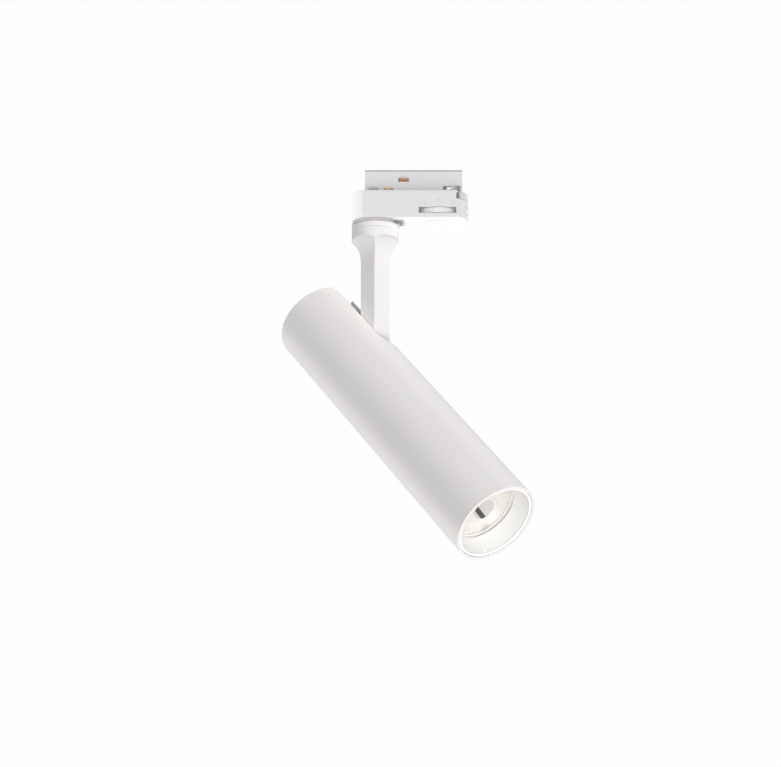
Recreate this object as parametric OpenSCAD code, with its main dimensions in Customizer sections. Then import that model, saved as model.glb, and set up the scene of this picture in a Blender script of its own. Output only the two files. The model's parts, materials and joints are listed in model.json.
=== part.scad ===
// Track spotlight: three-circuit track adapter, swivel arm and tilting cylindrical head.
// Origin: on the swivel axis, at the adapter face that bears on the underside of the track.
// +Z up, +X along the track. The arm and the head stand turned and tilted as in normal use.

/* [Head] */
// Outside diameter of the lamp tube
tube_d = 65; // [64.6:0.1:65.4]
// Length of the lamp tube
tube_len = 256.6; // [255:0.1:260]
// Inside diameter of the lamp tube
tube_bore = 61.4; // [61.3:0.1:61.6]
// Depth from the front rim to the lip of the inner ring
lip_depth = 1; // [0.8:0.1:1.4]
// Length of the glare baffle
baffle_len = 13.8; // [13:0.1:14]

/* [Slot and hinge] */
// Sideways offset of the stem from the tube axis
side_off = 6.9; // [6.7:0.1:7]
// Distance of the hinge from the rear end of the tube
hinge_t = 59.5; // [59:0.1:59.8]
// Distance of the hinge from the tube axis
hinge_h = 20.37; // [20.3:0.01:20.5]
// Where the round front end of the slot lies, from the rear end
slot_end = 75; // [74.9:0.1:75.6]
// How far the near side of the slot flares open at the rear
mouth = 3.6; // [3:0.1:4]

/* [Arm] */
// Diameter of the collar and of the ring on it
collar_d = 36.4; // [36:0.1:36.8]
// Stem depth, in the tilt plane
stem_x = 16; // [15.8:0.1:16]
// Stem width, along the hinge
stem_y = 16.6; // [16.4:0.1:16.6]
// Drop of the hinge below the track face
hinge_drop = 118.41; // [118:0.01:120]

/* [Adapter] */
// Height of the adapter body below the track
body_h = 21.54; // [21.5:0.01:21.6]
// Half width of the adapter body
body_y = 17.2; // [17.1:0.05:17.4]
// Left end of the adapter body
body_x0 = -18.3; // [-18.6:0.1:-18.2]
// Right end of the adapter body
body_x1 = 72.5; // [72.4:0.1:72.8]
// Height of the insert above the track face
insert_h = 19; // [18.8:0.1:20]
// Half width of the insert
insert_y = 9.2; // [9.1:0.05:9.3]

/* [Rest pose] */
// Swivel of the arm away from the track line
pan_rest = 45; // [45]
// Tilt of the head away from straight down
tilt_rest = 46.6; // [46.6]

/* [Hidden] */
$fn = 64;

// colours used by more than one piece
white = [0.93, 0.93, 0.92];
warm_white = [0.94, 0.93, 0.9];
pale_plastic = [0.9, 0.9, 0.89];
cable_white = [0.9, 0.9, 0.9];
copper = [0.8, 0.5, 0.3];
plate_steel = [0.7, 0.7, 0.72];
spring_steel = [0.6, 0.6, 0.62];
aluminium = [0.75, 0.76, 0.77];

// ---------- frames ----------
// The arm frame turns with the swivel. In the head frame the tube axis is z, the rear end
// is at 0, the light leaves towards -z and the hinge lies on the +x side.
module at_arm() { rotate([0, 0, -pan_rest]) children(); }
module at_head() {
  rotate([0, 0, -pan_rest]) translate([0, 0, -hinge_drop]) rotate([0, -tilt_rest, 0])
    translate([-hinge_h, -side_off, hinge_t]) children();
}

// ---------- shapes ----------
// box given by its two corners
module box(low, high) { translate(low) cube(high - low); }
// cylinders along each axis, between two stations
module cyl_z(r, z0, z1) { translate([0, 0, z0]) cylinder(r = r, h = z1 - z0); }
module cyl_y(r, y0, y1) { translate([0, y0, 0]) rotate([-90, 0, 0]) cylinder(r = r, h = y1 - y0); }
module cyl_x(r, x0, x1) { translate([x0, 0, 0]) rotate([0, 90, 0]) cylinder(r = r, h = x1 - x0); }
// crossed recess of a screw head
module cross_slot(half_len, half_width, z0, z1) {
  for (a = [0, 90]) rotate([0, 0, a])
    box([-half_len, -half_width, z0], [half_len, half_width, z1]);
}

// ---------- adapter ----------
sel_x = 48.4;        // selector axis
lock_x = 62;         // lock axis
left_nose = 8.6;     // length of the rounded left end
right_nose = 8;      // length of the rounded right end
left_arc_r = (body_y * body_y + left_nose * left_nose) / (2 * left_nose);
right_arc_r = (body_y * body_y + right_nose * right_nose) / (2 * right_nose);
right_arc_x = body_x1 - right_arc_r;
wall = 1.7;
cover_t = 1.6;
post_z0 = -body_h + 1.5;   // foot of the posts, inside the floor
posts = [[-8.2, 13], [-8.2, -13], [24.6, 12.9], [24.6, -12.9]];
spindle_r = 5;             // hollow swivel spindle
sel_r = 3;                 // selector spindle, lower part
sel_tip_r = 2;             // selector spindle, upper part
lock_r = 2.5;              // lock shaft, lower part
lock_tip_r = 2;            // lock shaft, upper part
lock_screw_r = 1;
terminal_y = [-6, 0, 6];
terminal_x = 25;
earth_x = 10;
phase_pitch = 3;
// hook plate, in x and z
hook_x0 = -5;
hook_x1 = 2;
hook_z0 = 2.2;
hook_z1 = 4;

module at_posts() { for (post = posts) translate(post) children(); }
module at_selector() { translate([sel_x, 0, 0]) children(); }
module at_lock() { translate([lock_x, 0, 0]) children(); }
// disc whose edge is the right end of the body
module right_arc(inset) {
  translate([right_arc_x, 0]) circle(r = right_arc_r - inset, $fn = 96);
}
// plan outline of the body
module plan(inset) {
  intersection() {
    translate([body_x0 + inset, -body_y + inset])
      square([body_x1 - body_x0 - 2 * inset, 2 * body_y - 2 * inset]);
    union() {
      translate([body_x0 + left_arc_r, 0]) circle(r = left_arc_r - inset, $fn = 96);
      translate([body_x0 + left_nose, -body_y])
        square([body_x1 - body_x0 - left_nose - right_nose, 2 * body_y]);
      right_arc(inset);
    }
  }
}
// opening for the latch tab, or the tab's extent within it
module latch_box(gap) {
  box([65, -11.2 + gap, -17.4 + gap], [75, -3.4 - gap, -11.5 - gap]);
}

module adapter_housing() {
  color(white) difference() {
    union() {
      difference() {
        translate([0, 0, -body_h]) linear_extrude(body_h - cover_t) plan(0);
        translate([0, 0, -body_h + 2]) linear_extrude(body_h) plan(wall);
      }
      at_posts() cyl_z(2.2, post_z0, -cover_t);
      // boss inside that carries the selector spindle, and the shallow disc outside
      at_selector() cyl_z(5.5, post_z0, -18.4);
      at_selector() cyl_z(9, -body_h - 0.3, -body_h + 0.5);
      // post that stops the swivel
      rotate([0, 0, 167.5]) box([11.2, -1.2, post_z0], [13.6, 1.2, -15.2]);
      // wedge under the body beside the swivel ring
      translate([0, 0, -body_h - 2.3]) linear_extrude(2.8)
        polygon([[18.6, -1.9], [23.6, -0.4], [22.4, 2.2], [18.8, 1.6]]);
    }
    // neck opening and selector bearing
    cyl_z(7.05, -body_h - 1, -18);
    at_selector() cyl_z(sel_r + 0.06, -body_h + 1, -10);
    // thumbwheel windows, one each side
    for (s = [-1, 1]) box([33.6, s * 17 - 2, -18.24], [62.5, s * 17 + 2, -13.34]);
    // notch for the swing lever round the nose
    box([62.6, -20, -6.6], [80, 11.5, 0]);
    latch_box(0);
    at_posts() cyl_z(0.95, -8.5, 0);
  }
}
module adapter_cover() {
  color(white) difference() {
    union() {
      // lid, cut away over the lever
      intersection() {
        translate([0, 0, -cover_t]) linear_extrude(cover_t) plan(0);
        union() {
          box([-30, -30, -2], [63.5, 30, 1]);
          box([60, -insert_y, -2], [67.5, insert_y, 1]);
          box([60, 11.8, -2], [80, 30, 1]);
        }
      }
      // insert block with sloping upper edges
      translate([-8, 0, -1]) rotate([90, 0, 90]) linear_extrude(75.5)
        polygon([[-insert_y, 0], [insert_y, 0], [insert_y, insert_h - 0.8],
          [insert_y - 1.8, insert_h + 1], [-insert_y + 1.8, insert_h + 1],
          [-insert_y, insert_h - 0.8]]);
    }
    // inside of the insert
    box([-6.5, -insert_y + 1.5, 0], [66, insert_y - 1.5, insert_h - 1.6]);
    // bearings for the selector spindle and the lock shaft
    at_selector() cyl_z(sel_tip_r + 0.06, -3, insert_h + 2);
    at_lock() cyl_z(lock_r + 0.06, -3, 1);
    // windows for the phase contacts
    for (i = [0 : 2]) box([37.2, 5, 8 + phase_pitch * i], [59.6, 12, 10 + phase_pitch * i]);
    // slot for the lock cam
    box([52.5, -12, 1.7], [70, 12, 5.5]);
    // windows for the neutral and earth contacts and the hook plate
    box([18, -12, 9], [26, -5, 12]);
    for (s = [-1, 1]) box([earth_x - 3.4, s * 9 - 2.5, 1.4], [earth_x + 3.4, s * 9 + 2.5, 4]);
    box([hook_x0 - 0.1, -12, hook_z0 - 0.1], [hook_x1 + 0.1, 12, hook_z1 + 0.1]);
    // cable opening and screw seats
    box([17, -6, -3], [27, 6, 1]);
    at_posts() {
      cyl_z(1.0, -3, 1);
      cyl_z(2.1, -1.0, 1);
    }
  }
}
module cover_screws() {
  color("silver") at_posts() difference() {
    union() {
      cyl_z(2.0, -0.95, -0.05);
      cyl_z(0.9, -8, -0.9);
    }
    cross_slot(1.2, 0.2, -0.5, 1);
  }
}
// flanged sleeve round the swivel spindle
module neck_bush() {
  color([0.16, 0.16, 0.17]) difference() {
    union() {
      cyl_z(7.0, -24.3, -18);
      cyl_z(10.4, -19.5, -17.5);
    }
    cyl_z(spindle_r + 0.06, -30, 0);
  }
}
module terminal_block() {
  color([0.86, 0.86, 0.84]) difference() {
    union() {
      box([16, -9, -19.5], [28, 9, -12]);
      for (y = terminal_y) box([19, y - 2.4, -12.5], [28, y + 2.4, -9.6]);
    }
    // screw wells and wire entries
    for (y = terminal_y) {
      translate([terminal_x, y, 0]) cyl_z(1.7, -16, -9);
      translate([0, y, -16.5]) cyl_x(1.5, 15, 22);
    }
  }
}
module terminal_screws() {
  color("silver") for (y = terminal_y) translate([terminal_x, y, 0]) difference() {
    union() {
      cyl_z(1.6, -11.5, -10);
      cyl_z(1.2, -15.8, -11);
    }
    box([-2, -0.25, -10.5], [2, 0.25, -9]);
  }
}

wire_r = 0.8;
wire_z = 5;    // height of the phase and earth wires
// lead that rises from the terminals at x = 18 to top_z and then runs from x0 to x1
module lead(y, top_z, x0, x1) {
  translate([18, y, 0]) {
    cyl_z(wire_r, -11.9, top_z);
    translate([0, 0, top_z]) sphere(r = wire_r);
  }
  translate([0, y, top_z]) cyl_x(wire_r, x0, x1);
}
module adapter_wires() {
  // phase, neutral, earth
  color([0.45, 0.28, 0.16]) lead(4, wire_z, 18, 44);
  color([0.2, 0.35, 0.7]) lead(-3, 11.45, 18, 23);
  color([0.45, 0.6, 0.15]) union() {
    lead(0, wire_z, earth_x, 18);
    translate([earth_x, 0, wire_z]) cyl_y(wire_r, -6.95, 6.95);
  }
}
// upright strip, cross strip through it and upturned outer tip
module neutral_contact() {
  color(copper) {
    box([19, -7.6, 5], [25, -7.0, 14]);
    box([20, -7.6, 10], [24, -2.2, 10.6]);
    box([20, -11.0, 10], [24, -7.3, 10.6]);
    box([20, -11.2, 10], [24, -10.6, 11.6]);
  }
}
// one on each side: upright strip, outward strip and upturned tip
module earth_contacts() {
  color(copper) for (turn = [0, 180]) translate([earth_x, 0, 0]) rotate([0, 0, turn]) {
    box([-3, 7.0, 0.3], [3, 7.6, 8]);
    box([-2.6, 7.2, 2.1], [2.6, 10.6, 2.7]);
    box([-2.6, 10.1, 2.1], [2.6, 10.7, 3.5]);
  }
}
module hook_plate() {
  color(plate_steel) difference() {
    union() {
      box([hook_x0, -11.3, hook_z0], [hook_x1, 11.3, hook_z1]);
      box([hook_x0, -6, hook_z1], [hook_x1, 6, 6]);
    }
    translate([(hook_x0 + hook_x1) / 2, 0, 0]) cyl_z(1.7, 1, 8);
  }
}

// ---------- phase selector ----------
// the three contact stations, stepped up and round the drum
module at_phases() {
  for (i = [0 : 2]) rotate([0, 0, 90 - 40 * i]) translate([0, 0, phase_pitch * i]) children();
}
module selector_wheel() {
  color(pale_plastic) at_selector() difference() {
    union() {
      cyl_z(17.6, -17.9, -13.7);
      cyl_z(6, -14, -12.6);
    }
    cyl_z(sel_r + 0.02, -20, -10);
    // rim serrations, one group for each window
    for (group = [0, 180], i = [0 : 8]) rotate([0, 0, group - 173 + i * 8.6])
      translate([17.9, 0, 0]) cyl_z(0.85, -20, -10);
    // round pockets in the upper face
    for (a = [30 : 60 : 330]) rotate([0, 0, a]) translate([11, 0, 0]) cyl_z(3.2, -16.4, -10);
  }
}
module selector_spindle() {
  color("silver") at_selector() {
    cyl_z(sel_r, -20.4, -7);
    cyl_z(sel_tip_r, -7.5, insert_h - 0.3);
  }
}
module contact_drum() {
  color([0.82, 0.8, 0.74]) at_selector() difference() {
    union() {
      cyl_z(7.4, 6.5, insert_h - 1.8);
      cyl_z(4, 5.9, 7);
    }
    cyl_z(sel_tip_r + 0.02, 5, 20);
    at_phases() box([4.9, -1.25, 8.55], [9, 1.25, 9.45]);
  }
}
// flat strips with raised outer tips
module phase_contacts() {
  color(copper) at_selector() at_phases() {
    box([5, -1.2, 8.6], [10.6, 1.2, 9.2]);
    box([10, -1.2, 8.7], [10.6, 1.2, 9.4]);
  }
}

// ---------- track lock ----------
// band that follows the right end of the body
module nose_band(inset) {
  difference() {
    right_arc(0.2);
    right_arc(inset);
  }
}
module lock_lever() {
  web_x = right_arc_x + right_arc_r - 2;
  color([0.85, 0.85, 0.85]) difference() {
    union() {
      // hub, web and the low part of the rim
      translate([0, 0, -5.3]) linear_extrude(3.5) union() {
        intersection() {
          nose_band(3.6);
          polygon([[right_arc_x, 0], [right_arc_x + 40, -41.4], [right_arc_x + 60, -10],
            [right_arc_x + 40, 7]]);
        }
        translate([lock_x, 0]) circle(r = 5);
        polygon([[lock_x, -3.4], [web_x, -4.4], [web_x, 2.4], [lock_x, 3.4]]);
      }
      // finger rim that fills the notch
      translate([0, 0, -6.2]) linear_extrude(5.75) intersection() {
        nose_band(2.6);
        polygon([[right_arc_x, 0], [right_arc_x + 40, -41.4], [right_arc_x + 60, -10],
          [right_arc_x + 60, -5.6], [right_arc_x + 10, -5.6]]);
      }
    }
    at_lock() cyl_z(lock_r + 0.02, -10, 5);
  }
}
module lock_shaft() {
  color("silver") at_lock() difference() {
    union() {
      cyl_z(lock_r, -5.3, 2);
      cyl_z(lock_tip_r, 1.5, 5.3);
    }
    cyl_z(lock_screw_r + 0.02, -6, -1);
  }
}
// bar with rounded ends, lying across the insert
module lock_cam() {
  color(plate_steel) translate([lock_x, 0, 2.05]) difference() {
    linear_extrude(3.1) intersection() {
      circle(r = 11.2);
      translate([-3.4, -12]) square([6.8, 24]);
    }
    cyl_z(lock_tip_r + 0.02, -1, 5);
  }
}
module lock_screw() {
  color("silver") at_lock() difference() {
    union() {
      cyl_z(3.6, -6.5, -5.35);
      cyl_z(lock_screw_r, -5.6, -1.2);
    }
    cross_slot(1.6, 0.25, -7, -6);
  }
}
// piece of the end wall, with a block inside
module latch_tab() {
  color(pale_plastic) union() {
    intersection() {
      translate([0, 0, -body_h]) linear_extrude(20) difference() {
        plan(0.05);
        plan(wall);
      }
      latch_box(0.3);
    }
    box([66.9, -8.4, -15.6], [69.6, -6.2, -13.3]);
  }
}

// ---------- arm ----------
flare_steps = 20;
flare_out = 11;        // how far the flare widens on each side
flare_top = -28.85;
stem_top = -52;
cable_z = -108.7;      // where the cable turns out of the stem
cable_r = 2.8;
cableway_r = cable_r + 0.5;
chamfer_dist = (stem_x + stem_y) / 2 / sqrt(2) - 0.42;

// one side of the flare: [half width, z] from the stem side up and outwards
function flare_side(half) = [for (i = [0 : flare_steps])
  let (a = 90 * i / flare_steps) [half + flare_out * (1 - cos(a)), -50.2 + 15 * sin(a)]];
module flare_profile(half) {
  side = flare_side(half);
  polygon(concat(
    [[-half, stem_top]],
    [for (point = side) [-point[0], point[1]]],
    [[-half - flare_out, flare_top], [half + flare_out, flare_top]],
    [for (i = [flare_steps : -1 : 0]) side[i]],
    [[half, stem_top]]));
}
module arm() {
  half_x = stem_x / 2;
  half_y = stem_y / 2;
  color(warm_white) at_arm() difference() {
    union() {
      // flare from the stem to the collar
      intersection() {
        cyl_z(collar_d / 2, stem_top, flare_top);
        rotate([90, 0, 0]) linear_extrude(60, center = true) flare_profile(half_x);
        rotate([90, 0, 90]) linear_extrude(60, center = true) flare_profile(half_y);
      }
      box([-half_x, -half_y, -hinge_drop], [half_x, half_y, stem_top + 0.1]);
      translate([0, 0, -hinge_drop]) cyl_y(half_x, -half_y, half_y);
    }
    // narrow chamfers down the stem, running out into the flare
    for (a = [45 : 90 : 315]) rotate([0, 0, a]) {
      box([chamfer_dist, -6, -hinge_drop - 20], [20, 6, stem_top]);
      translate([chamfer_dist, 0, stem_top]) rotate([0, 14, 0]) box([0, -6, -0.05], [6, 6, 3]);
    }
    // seat of the ring, spindle bore and cable way
    cyl_z(15.5, -33.2, -20);
    cyl_z(spindle_r + 0.02, -45, -20);
    cyl_z(cableway_r, -112, -40);
    translate([0, 0, cable_z]) cyl_x(cableway_r, -10, 0);
    // hinge bore
    translate([0, 0, -hinge_drop]) cyl_y(hinge_r + 0.05, -20, 20);
  }
}
module swivel_ring() {
  color(warm_white) at_arm() difference() {
    union() {
      cyl_z(collar_d / 2, -28.6, -24.46);
      cyl_z(15.35, -31, -28.5);
    }
    cyl_z(spindle_r + 0.08, -40, -20);
    // shallow relief round one side of the rim
    intersection() {
      difference() {
        cyl_z(20, -30, -25.3);
        cyl_z(collar_d / 2 - 0.3, -31, -24);
      }
      rotate([0, 0, 45]) linear_extrude(80, center = true)
        polygon([[0, 0], [6, -40], [60, -40], [60, 30]]);
    }
  }
}
module pan_spindle() {
  color("silver") at_arm() difference() {
    cyl_z(spindle_r, -44.5, -8.5);
    cyl_z(3.2, -50, 0);
  }
}
module pan_nut() {
  color("silver") at_arm() difference() {
    translate([0, 0, -15.5]) cylinder(r = 9.2, h = 5, $fn = 6);
    cyl_z(spindle_r + 0.02, -20, 0);
  }
}
module wave_washer() {
  color(spring_steel) at_arm() difference() {
    cyl_z(8.6, -16.2, -15.55);
    cyl_z(spindle_r + 0.06, -20, 0);
  }
}
// washer with a tab that meets the stop post
module stop_washer() {
  color(spring_steel) at_arm() difference() {
    union() {
      cyl_z(9, -17.4, -16.25);
      box([0, -1.2, -17.4], [12.7, 1.2, -16.25]);
    }
    cyl_z(spindle_r + 0.02, -20, 0);
  }
}
module supply_cable() {
  color(cable_white) at_arm() union() {
    cyl_z(cable_r, cable_z, -6);
    translate([0, 0, cable_z]) sphere(r = cable_r);
    translate([0, 0, cable_z]) cyl_x(cable_r, -7.8, 0);
  }
}

// ---------- head: shell and hinge ----------
bore_r = tube_bore / 2;
// slot edges across the tube, from its axis
slot_lo = side_off - 9;
slot_hi = side_off + 14.2;
slot_r = (slot_hi - slot_lo) / 2;
slot_mid = (slot_hi + slot_lo) / 2;
near_cheek = side_off - 8.85;  // inner face of the near bracket cheek
far_cheek = side_off + 8.85;   // inner face of the far bracket cheek
cheek_t = 1.3;
web_x0 = 10.4;                 // bracket web, underside and top
web_x1 = 11.9;
hinge_r = 3;                   // nominal radius of the hinge bolt

module at_hinge() { at_head() translate([hinge_h, 0, -hinge_t]) children(); }
module at_cap_screws() { for (y = [-18, 18]) translate([-6, y, 0]) children(); }
module at_bracket_screws() { for (y = [0, 11]) translate([0, y, -78]) children(); }

// slot outline, in depth from the rear end and y
module slot_outline() {
  polygon([[-2, slot_lo - mouth], [0, slot_lo - mouth], [9, slot_lo],
    [slot_end - slot_r, slot_lo], [slot_end - slot_r, slot_hi], [-2, slot_hi]]);
  translate([slot_end - slot_r, slot_mid]) circle(r = slot_r);
}
module tube_housing() {
  color(white) at_head() difference() {
    cyl_z(tube_d / 2, -tube_len, 0);
    cyl_z(bore_r, -tube_len - 1, 1);
    translate([10, 0, 0]) rotate([0, 90, 0]) linear_extrude(30) slot_outline();
  }
}
module rear_cap() {
  color(white) at_head() difference() {
    cyl_z(bore_r - 0.1, -4, -1);
    box([10.2, slot_lo - mouth - 0.1, -10], [40, slot_hi + 0.1, 5]);
    at_cap_screws() cyl_z(1.6, -10, 5);
  }
}
module rear_cap_screws() {
  color("silver") at_head() at_cap_screws() difference() {
    union() {
      cyl_z(2.7, -0.98, -0.05);
      cyl_z(1.45, -10, -0.9);
    }
    cross_slot(1.4, 0.25, -0.6, 1);
  }
}
module hinge_bracket() {
  near_y = near_cheek - cheek_t;
  far_y = far_cheek + cheek_t;
  color([0.3, 0.3, 0.31]) at_head() difference() {
    union() {
      // channel with low sides, a taller pair of ears at the hinge, and a foot for the screws
      box([web_x0, near_y, -66], [24.3, far_y, -15]);
      box([20, near_y, -66], [26.6, far_y, -53]);
      box([web_x0, near_y, -84], [web_x1, far_cheek - 2, -60]);
    }
    box([web_x1, near_cheek, -90], [40, far_cheek, 0]);
    translate([hinge_h, 0, -hinge_t]) cyl_y(hinge_r + 0.02, -20, 30);
    at_bracket_screws() cyl_x(1.6, 5, 20);
  }
}
module bracket_screws() {
  color("silver") at_head() at_bracket_screws() difference() {
    union() {
      cyl_x(2.8, web_x1 + 0.03, 13.6);
      cyl_x(1.5, 6.5, 12);
    }
    translate([13.6, 0, 0]) rotate([0, 90, 0]) translate([0, 0, -0.9])
      cylinder(r = 1.4, h = 2, $fn = 6);
  }
}
module hinge_bolt() {
  color("silver") at_hinge() difference() {
    union() {
      cyl_y(hinge_r - 0.02, -10.5, far_cheek + 1.4);
      cyl_y(4.0, far_cheek + 1.33, far_cheek + 2.4);
    }
    translate([0, far_cheek + 1.6, 0]) rotate([-90, 0, 0]) cylinder(r = 1.8, h = 3, $fn = 6);
  }
}
module disc_spring() {
  color(spring_steel) at_hinge() difference() {
    cyl_y(6.5, near_cheek - 2.5, near_cheek - 1.35);
    cyl_y(hinge_r + 0.05, -20, 20);
  }
}
module hinge_nut() {
  color("silver") at_hinge() difference() {
    translate([0, near_cheek - 7.4, 0]) rotate([-90, 0, 0]) cylinder(r = 5.8, h = 4.8, $fn = 6);
    cyl_y(hinge_r + 0.02, -20, 20);
  }
}
// one inside each cheek
module friction_washers() {
  color([0.25, 0.25, 0.26]) at_hinge()
    for (y = [near_cheek + 0.02, far_cheek - 0.52]) difference() {
      cyl_y(5.6, y, y + 0.5);
      cyl_y(hinge_r + 0.06, -20, 30);
    }
}

// ---------- head: stations along the tube, from the front ----------
glass_t = 2.5;
reflector_len = 21.3;
sink_len = 60;
lip_z = -(tube_len - lip_depth);
baffle_z = lip_z + 1.2 + baffle_len;      // rear end of the baffle
glass_z = baffle_z + 0.1;
reflector_z = glass_z + glass_t + 0.1;
cob_z = reflector_z + reflector_len + 0.1;
sink_z = cob_z + 4.6;
tray_z = sink_z + sink_len;

// ---------- head: driver ----------
tray_x = 8.3;         // inner face of the tray
board_x0 = 2.8;       // component face of the board
board_x1 = 4.4;
part_x = board_x0 - 0.05;  // where the components end at the board

module at_board_screws() {
  for (y = [-17, 17], z = [-28, -132]) translate([0, y, z]) children();
}
module at_sink_screws() { for (y = [-6, 6]) translate([-8, y, 0]) children(); }

module driver_tray() {
  color(aluminium) at_head() difference() {
    // long plate with a flange at each end
    union() {
      box([tray_x, -28.4, tray_z + 0.1], [10.3, 28.4, -4.2]);
      box([-14, -25, -5.7], [9, 25, -4.2]);
      box([-20, -16, tray_z + 0.1], [9, 16, tray_z + 1.6]);
    }
    at_bracket_screws() cyl_x(1.6, 5, 20);
    at_cap_screws() cyl_z(1.5, -10, 0);
    at_sink_screws() cyl_z(1.6, tray_z - 5, tray_z + 5);
    at_board_screws() cyl_x(1.3, 5, 20);
    // openings for the leads
    translate([0, -24, -100]) cyl_x(3, 0, 20);
    translate([0, 0, -12]) cyl_x(3.2, 0, 20);
  }
}
module driver_board() {
  color([0.12, 0.35, 0.2]) at_head() difference() {
    box([board_x0, -22, -138], [board_x1, 22, -22]);
    at_board_screws() cyl_x(1.6, 0, 20);
  }
}
module board_standoffs() {
  color("gold") at_head() at_board_screws() difference() {
    cyl_x(2.6, board_x1 + 0.02, tray_x - 0.02);
    cyl_x(1.3, 0, 20);
  }
}
module board_screws() {
  color("silver") at_head() at_board_screws() {
    cyl_x(2.4, 1.6, board_x0 - 0.02);
    cyl_x(1.2, 1.7, 8.1);
  }
}
// core, winding and base
module driver_transformer() {
  color([0.2, 0.2, 0.2]) at_head() {
    box([-12.2, -9, -100], [-1, 9, -80]);
    box([-9, -11, -97], [-4, 11, -83]);
    box([-1.2, -10.5, -102], [part_x, 10.5, -78]);
  }
}
module driver_capacitors() {
  // places as [y, z]
  color([0.1, 0.1, 0.3]) at_head() for (place = [[-12, -48], [11, -48], [-14, -116]])
    translate([0, place[0], place[1]]) difference() {
      cyl_x(5, -13, part_x);
      cyl_x(3.6, -14, -12.7);
    }
}
module driver_choke() {
  color([0.75, 0.45, 0.2]) at_head() translate([0.2, 1, -64]) rotate([0, 90, 0])
    rotate_extrude() translate([6, 0]) circle(r = 2.4, $fn = 32);
}
module driver_connectors() {
  // places as [y, z]
  color([0.9, 0.9, 0.88]) at_head() for (place = [[-3, -30], [0, -128]])
    translate([0, place[0], place[1]]) difference() {
      box([-5.5, -6, -4], [part_x, 6, 4]);
      for (y = [-3.6, 0, 3.6]) translate([-1, y, 1]) cyl_z(1.2, 0, 10);
    }
}

// ---------- head: light engine ----------
fins = 24;
led_wire_y = 20;

module at_cob_screws() { for (y = [-18, 18]) rotate([0, 0, 45]) translate([0, y, 0]) children(); }
module at_led_wires() { for (s = [-1, 1]) translate([0, s * led_wire_y, 0]) children(); }

module heat_sink() {
  color(aluminium) at_head() difference() {
    union() {
      // core and fins
      translate([0, 0, sink_z]) linear_extrude(sink_len) union() {
        circle(r = 14);
        intersection() {
          circle(r = bore_r - 0.1);
          union() for (i = [0 : fins - 1]) rotate((i + 0.5) * 360 / fins)
            translate([10, -0.9]) square([25, 1.8]);
        }
      }
      cyl_z(bore_r - 0.1, sink_z, sink_z + 5);
    }
    at_sink_screws() cyl_z(1.35, tray_z - 12, tray_z + 1);
    at_cob_screws() cyl_z(1.35, sink_z - 1, sink_z + 4);
    at_led_wires() cyl_z(1.3, sink_z - 1, sink_z + 8);
  }
}
module heat_sink_screws() {
  color("silver") at_head() at_sink_screws() {
    cyl_z(2.7, tray_z + 1.63, tray_z + 3.4);
    cyl_z(1.3, tray_z - 8, tray_z + 1.7);
  }
}
module thermal_pad() {
  color([0.55, 0.6, 0.65]) at_head() cyl_z(12, sink_z - 0.52, sink_z - 0.02);
}
// red on the +y side, black on the -y side
module led_wires() {
  for (s = [-1, 1]) color(s > 0 ? [0.75, 0.1, 0.1] : [0.1, 0.1, 0.1]) at_head()
    translate([0, s * led_wire_y, 0]) cyl_z(0.9, sink_z - 1.4, tray_z + 18);
}
module cob_board() {
  color([0.85, 0.85, 0.8]) at_head() box([-8.5, -8.5, sink_z - 1.74], [8.5, 8.5, sink_z - 0.54]);
}
module cob_phosphor() {
  color([0.95, 0.85, 0.3]) at_head() cyl_z(6.6, sink_z - 2.2, sink_z - 1.76);
}
module cob_holder() {
  color([0.92, 0.92, 0.9]) at_head() difference() {
    cyl_z(23, cob_z + 0.1, sink_z - 0.05);
    // recesses for the pad and the board
    cyl_z(12.3, sink_z - 0.7, sink_z + 1);
    box([-8.7, -8.7, sink_z - 1.9], [8.7, 8.7, sink_z]);
    // light opening, widening to the front
    cyl_z(8.4, cob_z - 1, sink_z);
    translate([0, 0, cob_z - 0.1]) cylinder(r1 = 11.4, r2 = 8.3, h = 2.4);
    at_cob_screws() cyl_z(1.6, cob_z - 1, sink_z + 1);
    at_led_wires() cyl_z(1.1, sink_z - 1.6, sink_z + 1);
  }
}
module cob_screws() {
  color("silver") at_head() at_cob_screws() {
    cyl_z(1.3, cob_z + 0.05, sink_z + 3.8);
    cyl_z(2.4, cob_z - 1.3, cob_z + 0.08);
  }
}

reflector_steps = 12;
// radius of the reflector at a depth from its small end
function reflector_r(depth) = sqrt(9.6 * 9.6 + 28.6 * depth);
// reflector curve as [radius, z], moved outwards by thick
function reflector_curve(steps, thick) = [for (i = steps)
  let (depth = reflector_len * i / reflector_steps) [reflector_r(depth) + thick, cob_z - depth]];
module reflector() {
  rim_z = cob_z - reflector_len;
  color([0.85, 0.85, 0.87]) at_head() union() {
    rotate_extrude() polygon(concat(
      reflector_curve([0 : reflector_steps], 0),
      reflector_curve([reflector_steps : -1 : 0], 0.9)));
    // flange at the wide end
    difference() {
      cyl_z(bore_r - 0.15, rim_z, rim_z + 0.8);
      cyl_z(reflector_r(reflector_len) + 0.3, rim_z - 1, rim_z + 2);
    }
  }
}
module front_glass() {
  color([0.8, 0.85, 0.88, 0.4]) at_head() cyl_z(28, glass_z, glass_z + glass_t);
}
module glass_gasket() {
  color([0.85, 0.85, 0.83]) at_head() difference() {
    cyl_z(bore_r - 0.15, glass_z, glass_z + glass_t);
    cyl_z(28.05, glass_z - 1, glass_z + 4);
  }
}
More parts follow.
